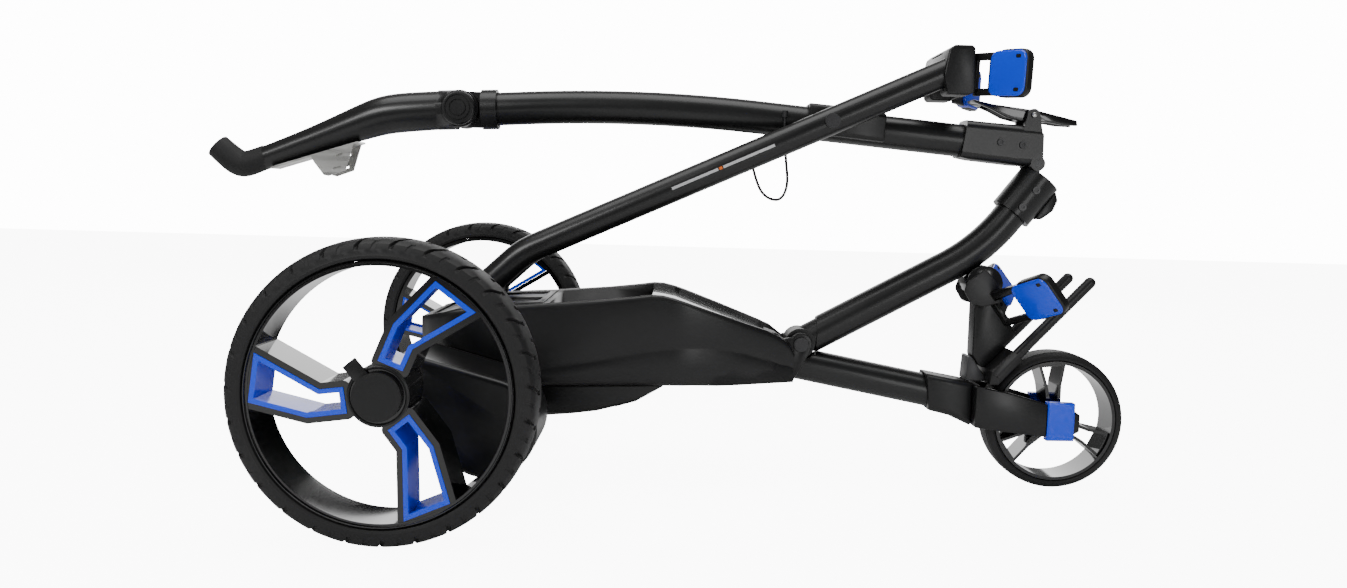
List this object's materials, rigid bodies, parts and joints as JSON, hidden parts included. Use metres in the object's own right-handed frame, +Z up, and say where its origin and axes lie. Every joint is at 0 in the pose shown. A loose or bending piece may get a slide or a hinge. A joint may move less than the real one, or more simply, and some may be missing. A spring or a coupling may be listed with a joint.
{
  "type": "folding three-wheel golf trolley",
  "caption": "Three-wheel electric golf trolley, folded: long chassis tray, hinged mast and handle tube, twin strut, bag cradles and spoked wheels.",
  "frame": {"origin": "on the ground under the middle of the folded cart's box", "axes": "+X forward towards the front wheel, +Y to the cart's left, +Z up"},
  "size_m": [1.0496, 0.6212, 0.494],
  "materials": {
    "tyre_rubber": "satin moulded rubber",
    "gloss_black": "gloss",
    "blue_plastic": "gloss royal blue",
    "bright_steel": "brushed",
    "satin_plastic": "satin moulded",
    "board_green": "circuit board in potting",
    "motor_case": "painted steel can",
    "painted_tube": "satin powder coat",
    "grey_boot": "satin grey",
    "grip_rubber": "matt",
    "cable_skin": "satin"
  },
  "bodies": {
    "chassis": {"chassis_tray": "satin_plastic", "rear_deck": "satin_plastic", "belly_cover": "satin_plastic", "drive_housings": "satin_plastic", "nose_bracket": "satin_plastic", "front_sleeve": "satin_plastic", "front_fork": "satin_plastic", "bracket_column": "satin_plastic", "bag_foot": "satin_plastic", "lower_arms": "satin_plastic", "nose_deck": "gloss_black", "mast_rest": "gloss_black", "controller": "board_green", "battery_terminal": "satin_plastic", "motors": "motor_case", "axle_bearings": "bright_steel", "mast_pivot_pin": "bright_steel", "front_axle": "bright_steel", "front_tube": "painted_tube", "bracket_boot": "grey_boot", "fork_caps": "blue_plastic", "lower_pads": "blue_plastic"},
    "rear_wheel_right": {"rear_tyre_right": "tyre_rubber", "rear_rim_right": "gloss_black", "rear_spoke_liners_right": "blue_plastic", "rear_drive_shaft_right": "bright_steel", "rear_hub_cap_right": "satin_plastic"},
    "release_tab_right": {"rear_release_tab_right": "satin_plastic"},
    "rear_wheel_left": {"rear_tyre_left": "tyre_rubber", "rear_rim_left": "gloss_black", "rear_spoke_liners_left": "blue_plastic", "rear_drive_shaft_left": "bright_steel", "rear_hub_cap_left": "satin_plastic"},
    "release_tab_left": {"rear_release_tab_left": "satin_plastic"},
    "front_wheel": {"front_tyre": "tyre_rubber", "front_rim": "gloss_black"},
    "mast": {"mast_tube": "painted_tube", "mast_root": "satin_plastic", "mast_head": "painted_tube", "latch_catch": "satin_plastic", "mast_screws": "bright_steel"},
    "handle_tube": {"handle_tube": "painted_tube", "tube_head": "painted_tube", "hinge_pins": "bright_steel", "head_screws": "bright_steel", "strut_saddle": "satin_plastic", "cable_grommet": "cable_skin", "handle_joint": "painted_tube", "motor_cable": "cable_skin"},
    "lock_lever": {"lock_lever": "gloss_black"},
    "strut": {"strut_tubes": "painted_tube", "strut_roots": "satin_plastic", "strut_bolts": "bright_steel", "bag_bracket": "satin_plastic", "upper_arms": "satin_plastic", "upper_pads": "blue_plastic"},
    "handle": {"handle_stem": "painted_tube", "handle_grip": "grip_rubber", "control_plate": "bright_steel"},
    "clamp_knob": {"clamp_knob": "satin_plastic"}
  },
  "joints": [
    {"name": "wheel_spin_right", "type": "hinge", "parent": "chassis", "child": "rear_wheel_right", "pos_m": [-0.25316, -0.276, 0.14], "axis": [0, 1, 0], "continuous": true},
    {"name": "tab_press_right", "type": "slide", "parent": "rear_wheel_right", "child": "release_tab_right", "axis": [0.6428, 0, -0.766], "range_m": [0, 0.003], "stiffness_N_per_m": 600, "springref_m": -0.0005},
    {"name": "wheel_spin_left", "type": "hinge", "parent": "chassis", "child": "rear_wheel_left", "pos_m": [-0.25316, 0.276, 0.14], "axis": [0, 1, 0], "continuous": true},
    {"name": "tab_press_left", "type": "slide", "parent": "rear_wheel_left", "child": "release_tab_left", "axis": [0.6428, 0, -0.766], "range_m": [0, 0.003], "stiffness_N_per_m": 600, "springref_m": -0.0005},
    {"name": "front_spin", "type": "hinge", "parent": "chassis", "child": "front_wheel", "pos_m": [0.44584, 0, 0.079], "axis": [0, 1, 0], "continuous": true},
    {"name": "fold", "type": "hinge", "parent": "chassis", "child": "mast", "pos_m": [0.15184, 0, 0.16], "axis": [0, -1, 0], "range_deg": [0, 79.9]},
    {"name": "tube_fold", "type": "hinge", "parent": "mast", "child": "handle_tube", "pos_m": [0.41014, 0, 0.3702], "axis": [0, -1, 0], "range_deg": [-122.32, 0.01]},
    {"name": "strut_swing", "type": "hinge", "parent": "handle_tube", "child": "strut", "pos_m": [0.17384, 0, 0.409], "axis": [0, -1, 0], "range_deg": [-0.01, 98.74]},
    {"name": "lever_press", "type": "hinge", "parent": "handle_tube", "child": "lock_lever", "pos_m": [0.40284, 0, 0.424], "axis": [0, -1, 0], "range_deg": [0, 13], "stiffness_Nm_per_rad": 0.4, "springref_deg": -11.46},
    {"name": "handle_tilt", "type": "hinge", "parent": "handle_tube", "child": "handle", "pos_m": [-0.23716, 0, 0.414], "axis": [0, -1, 0], "range_deg": [-20, 28]},
    {"name": "knob_turn", "type": "hinge", "parent": "handle", "child": "clamp_knob", "pos_m": [-0.23716, -0.03, 0.414], "axis": [0, -1, 0], "range_deg": [0, 270]}
  ],
  "couplings": [
    {"joint": "tube_fold", "follows": "fold", "ratio": -1.5308},
    {"joint": "strut_swing", "follows": "fold", "ratio": 1.2356}
  ]
}
